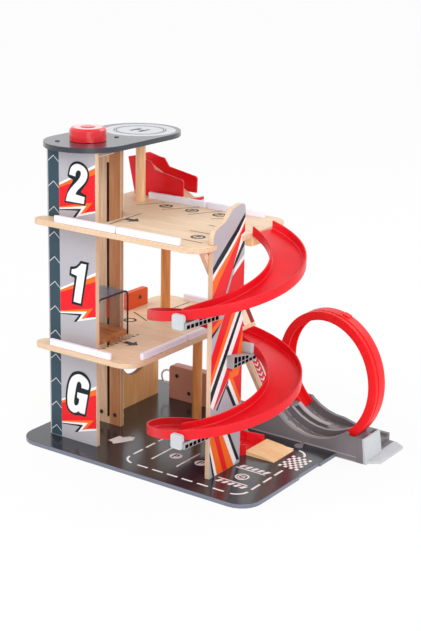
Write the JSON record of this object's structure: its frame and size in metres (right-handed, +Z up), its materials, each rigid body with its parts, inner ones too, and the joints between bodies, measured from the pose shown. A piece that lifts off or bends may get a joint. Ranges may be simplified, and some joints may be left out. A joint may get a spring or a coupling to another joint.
{
  "type": "toy parking garage",
  "caption": "Toy parking garage with a lift tower, decks on posts, a spiral ramp round an upright and a loop track on a base board.",
  "frame": {"origin": "centre of the base board's underside, which stands on the floor", "axes": "+X along the board's long front edge towards the spiral and the loop, +Y to the back, +Z up"},
  "size_m": [0.579, 0.4523, 0.5718],
  "materials": {
    "birch": "clear-lacquered birch plywood",
    "dowel": "clear-lacquered hardwood dowel",
    "dark_board": "glossy dark charcoal paint with white road marks",
    "printed_panel": "printed plywood, light grey ground",
    "red_plastic": "glossy red",
    "white_paint": "satin white paint on wood",
    "cabin_floor": "orange-brown stained wood",
    "clear_blue": "clear blue",
    "grey_plastic": "mid grey, satin",
    "pale_grey": "light grey, satin",
    "pump_paint": "mauve-brown paint",
    "orange_paint": "orange paint",
    "cord": "twisted white cord",
    "hose": "white flexible hose",
    "steel": "zinc-plated"
  },
  "bodies": {
    "garage": {"tower_far_wall": "birch", "slot_stop": "birch", "deck_1": "birch", "deck_2": "birch", "diagonal_brace": "birch", "ground_ramp": "birch", "launch_ramp": "birch", "ground_wall": "birch", "roof_post": "dowel", "middle_post": "dowel", "lower_post": "dowel", "track_start_support": "dowel", "cord_guide_pin": "dowel", "base_board": "dark_board", "roof_plate": "dark_board", "tower_front_panel": "printed_panel", "front_upright": "printed_panel", "track_piece_1": "red_plastic", "track_piece_2": "red_plastic", "track_piece_3": "red_plastic", "track_piece_4": "red_plastic", "ground_chute": "red_plastic", "loop_ring_right": "red_plastic", "loop_ring_left": "red_plastic", "launch_side_near": "red_plastic", "launch_side_far": "red_plastic", "launch_tip": "red_plastic", "deck_1_front_curb": "white_paint", "deck_1_right_curb_1": "white_paint", "deck_1_right_curb_2": "white_paint", "deck_1_back_curb": "white_paint", "deck_2_front_curb_1": "white_paint", "deck_2_front_curb_2": "white_paint", "deck_2_back_curb_1": "white_paint", "deck_2_back_curb_2": "white_paint", "support_arm_1": "grey_plastic", "support_arm_2": "grey_plastic", "support_arm_3": "grey_plastic", "loop_base": "grey_plastic", "track_clip_1": "pale_grey", "track_clip_2": "pale_grey", "track_clip_3": "pale_grey", "loop_end_block": "pale_grey", "pump_block": "pump_paint", "deck_stop_block": "orange_paint", "lift_cord": "cord", "pump_hose": "hose", "roof_screw_1": "steel", "roof_screw_2": "steel", "wall_screw_1": "steel", "wall_screw_2": "steel", "pump_screw_1": "steel", "pump_screw_2": "steel", "stop_screw_1": "steel"},
    "knob": {"lift_knob": "red_plastic", "knob_shaft": "steel", "winch_spool": "red_plastic"},
    "lift": {"lift_floor": "cabin_floor", "lift_cover": "clear_blue", "lift_slider": "orange_paint"}
  },
  "joints": [
    {"name": "knob_turn", "type": "hinge", "parent": "garage", "child": "knob", "pos_m": [-0.1575, -0.105, 0.547], "axis": [0, 0, 1], "range_deg": [-690, 797]},
    {"name": "lift_travel", "type": "slide", "parent": "garage", "child": "lift", "axis": [0, 0, 1], "range_m": [-0.184, 0.212]}
  ],
  "couplings": [
    {"joint": "lift_travel", "follows": "knob_turn", "m_per_rad": 0.0152}
  ]
}
